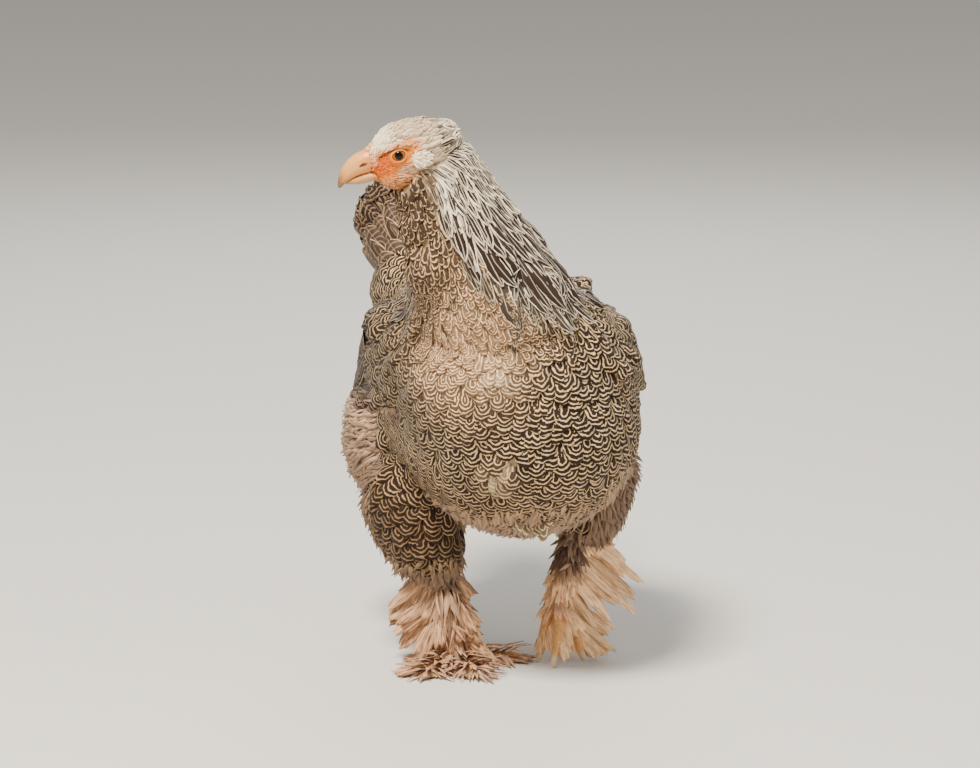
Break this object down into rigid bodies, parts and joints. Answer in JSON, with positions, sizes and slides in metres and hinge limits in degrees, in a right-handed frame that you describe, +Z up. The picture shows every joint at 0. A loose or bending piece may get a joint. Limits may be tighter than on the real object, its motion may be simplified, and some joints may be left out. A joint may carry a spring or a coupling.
{
  "type": "brahma hen",
  "caption": "Life-size standing Brahma hen, pencilled plumage and feathered feet, head turned to her right, one foot stepping.",
  "frame": {"origin": "on the floor under the middle of the bird's bounding box", "axes": "+Z up; the bird faces -Y and her left side is +X"},
  "size_m": [0.2538, 0.3266, 0.4255],
  "materials": {
    "pencilled": "dark brown feathers with fine cream pencilling",
    "hackle": "near-black hackle feathers with cream lacing",
    "tail_dark": "black-brown tail feathers with pencilled coverts",
    "fluff": "soft greyish fluff",
    "foot_feather": "brown foot feathers",
    "face_skin": "matte orange skin",
    "comb_red": "pebbled red skin",
    "ear_lobe": "smooth cream skin",
    "beak_horn": "satin horn",
    "claw_horn": "satin pale horn",
    "eye": "wet, orange iris with a black pupil"
  },
  "bodies": {
    "root": {"head": "face_skin", "beak_upper": "beak_horn", "beak_lower": "beak_horn", "comb": "comb_red", "eye_left": "eye", "eye_right": "eye", "ear_lobe_left": "ear_lobe", "ear_lobe_right": "ear_lobe", "torso": "pencilled", "neck": "hackle", "tail": "tail_dark", "wing_left": "pencilled", "thigh_left": "fluff", "shank_left": "foot_feather", "foot_left": "foot_feather", "claw_left_inner": "claw_horn", "claw_left_middle": "claw_horn", "claw_left_outer": "claw_horn", "claw_left_hind": "claw_horn", "wing_right": "pencilled", "thigh_right": "fluff", "shank_right": "foot_feather", "foot_right": "foot_feather", "claw_right_inner": "claw_horn", "claw_right_middle": "claw_horn", "claw_right_outer": "claw_horn", "claw_right_hind": "claw_horn"}
  },
  "joints": []
}
